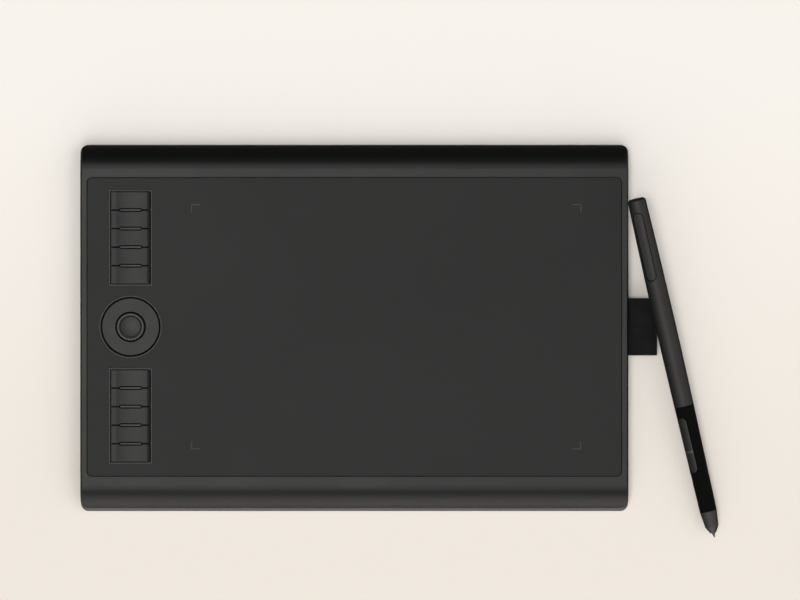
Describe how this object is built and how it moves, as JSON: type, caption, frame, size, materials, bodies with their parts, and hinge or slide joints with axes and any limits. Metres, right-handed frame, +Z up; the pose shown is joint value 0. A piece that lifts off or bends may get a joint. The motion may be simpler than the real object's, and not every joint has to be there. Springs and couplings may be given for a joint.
{
  "type": "graphics tablet",
  "caption": "Thin rectangular graphics tablet with curved front and rear edges, a touch ring between rows of side keys, a pen on an elastic side loop.",
  "frame": {"origin": "on the desk, under the middle of the case, at the middle rubber foot's lower face", "axes": "+X to the right along the case's long side towards the pen loop, +Y to the rear, +Z up"},
  "size_m": [0.4195, 0.2583, 0.0259],
  "materials": {
    "case_plastic": "fine spark-eroded texture, satin",
    "cover_plastic": "fine spark-eroded texture, satin",
    "sheet_film": "fine-grained matt drawing film",
    "mark_print": "printed grey line",
    "key_plastic": "satin moulded",
    "pill_plastic": "satin moulded",
    "ring_plastic": "satin moulded",
    "button_plastic": "satin moulded",
    "foot_rubber": "matt",
    "screw_steel": "blackened zinc",
    "board_laminate": "solder mask",
    "chip_resin": "moulded resin",
    "switch_steel": "stamped domes",
    "socket_steel": "drawn shell",
    "shield_steel": "rolled sheet",
    "ribbon_film": "amber film",
    "loop_elastic": "woven elastic webbing",
    "anchor_plastic": "moulded",
    "pen_plastic": "soft satin coating",
    "plate_plastic": "smooth, bare",
    "grip_rubber": "soft matt silicone",
    "core_plastic": "moulded",
    "nose_plastic": "satin",
    "pen_button_plastic": "satin gloss",
    "nib_plastic": "acetal",
    "ferrite": "sintered",
    "winding_copper": "enamelled wire",
    "cell_metal": "drawn can"
  },
  "bodies": {
    "tablet": {"top_case": "case_plastic", "bottom_cover": "cover_plastic", "rubber_feet": "foot_rubber", "case_screws": "screw_steel", "drawing_sheet": "sheet_film", "area_marks": "mark_print", "touch_ring": "ring_plastic", "ring_sensor_board": "board_laminate", "ring_switch": "switch_steel", "key_divider_upper": "pill_plastic", "key_divider_lower": "pill_plastic", "key_switches_upper": "switch_steel", "key_switches_lower": "switch_steel", "control_board": "board_laminate", "board_screws": "screw_steel", "control_chips": "chip_resin", "usb_socket": "socket_steel", "sensor_board": "board_laminate", "shield_plate": "shield_steel", "sensor_ribbon": "ribbon_film", "ring_ribbon": "ribbon_film", "pen_loop": "loop_elastic", "loop_anchor": "anchor_plastic"},
    "ring_button": {"ring_button": "button_plastic"},
    "pen": {"pen_barrel": "pen_plastic", "pen_plate": "plate_plastic", "pen_grip": "grip_rubber", "grip_core": "core_plastic", "pen_nose": "nose_plastic", "coil_core": "ferrite", "coil_winding": "winding_copper", "pressure_cell": "cell_metal", "pen_board": "board_laminate", "pen_switches": "switch_steel"},
    "pen_nib": {"pen_nib": "nib_plastic", "nib_holder": "core_plastic"},
    "pen_button_rear": {"pen_button_rear": "pen_button_plastic"},
    "pen_button_front": {"pen_button_front": "pen_button_plastic"},
    "key_1": {"key_1": "key_plastic"},
    "key_2": {"key_2": "key_plastic"},
    "key_3": {"key_3": "key_plastic"},
    "key_4": {"key_4": "key_plastic"},
    "key_5": {"key_5": "key_plastic"},
    "key_6": {"key_6": "key_plastic"},
    "key_7": {"key_7": "key_plastic"},
    "key_8": {"key_8": "key_plastic"},
    "key_9": {"key_9": "key_plastic"},
    "key_10": {"key_10": "key_plastic"}
  },
  "joints": [
    {"name": "key_1_press", "type": "slide", "parent": "tablet", "child": "key_1", "axis": [0, 0, -1], "range_m": [0, 0.0007], "stiffness_N_per_m": 600, "springref_m": -0.0003},
    {"name": "key_2_press", "type": "slide", "parent": "tablet", "child": "key_2", "axis": [0, 0, -1], "range_m": [0, 0.0007], "stiffness_N_per_m": 600, "springref_m": -0.0003},
    {"name": "key_3_press", "type": "slide", "parent": "tablet", "child": "key_3", "axis": [0, 0, -1], "range_m": [0, 0.0007], "stiffness_N_per_m": 600, "springref_m": -0.0003},
    {"name": "key_4_press", "type": "slide", "parent": "tablet", "child": "key_4", "axis": [0, 0, -1], "range_m": [0, 0.0007], "stiffness_N_per_m": 600, "springref_m": -0.0003},
    {"name": "key_5_press", "type": "slide", "parent": "tablet", "child": "key_5", "axis": [0, 0, -1], "range_m": [0, 0.0007], "stiffness_N_per_m": 600, "springref_m": -0.0003},
    {"name": "key_6_press", "type": "slide", "parent": "tablet", "child": "key_6", "axis": [0, 0, -1], "range_m": [0, 0.0007], "stiffness_N_per_m": 600, "springref_m": -0.0003},
    {"name": "key_7_press", "type": "slide", "parent": "tablet", "child": "key_7", "axis": [0, 0, -1], "range_m": [0, 0.0007], "stiffness_N_per_m": 600, "springref_m": -0.0003},
    {"name": "key_8_press", "type": "slide", "parent": "tablet", "child": "key_8", "axis": [0, 0, -1], "range_m": [0, 0.0007], "stiffness_N_per_m": 600, "springref_m": -0.0003},
    {"name": "key_9_press", "type": "slide", "parent": "tablet", "child": "key_9", "axis": [0, 0, -1], "range_m": [0, 0.0007], "stiffness_N_per_m": 600, "springref_m": -0.0003},
    {"name": "key_10_press", "type": "slide", "parent": "tablet", "child": "key_10", "axis": [0, 0, -1], "range_m": [0, 0.0007], "stiffness_N_per_m": 600, "springref_m": -0.0003},
    {"name": "ring_button_press", "type": "slide", "parent": "tablet", "child": "ring_button", "axis": [0, 0, -1], "range_m": [0, 0.0006], "stiffness_N_per_m": 600, "springref_m": -0.0003},
    {"name": "pen_lift", "type": "slide", "parent": "tablet", "child": "pen", "axis": [0, 0, 1], "range_m": [0, 0.08]},
    {"name": "pen_nib_press", "type": "slide", "parent": "pen", "child": "pen_nib", "axis": [-0.2278, 0.9714, 0.0672], "range_m": [0, 0.0004], "stiffness_N_per_m": 400, "springref_m": -0.0003},
    {"name": "pen_button_rear_press", "type": "slide", "parent": "pen", "child": "pen_button_rear", "axis": [0.614, 0.1969, -0.7643], "range_m": [0, 0.00035], "stiffness_N_per_m": 500, "springref_m": -0.0003},
    {"name": "pen_button_front_press", "type": "slide", "parent": "pen", "child": "pen_button_front", "axis": [0.614, 0.1969, -0.7643], "range_m": [0, 0.00035], "stiffness_N_per_m": 500, "springref_m": -0.0003}
  ]
}
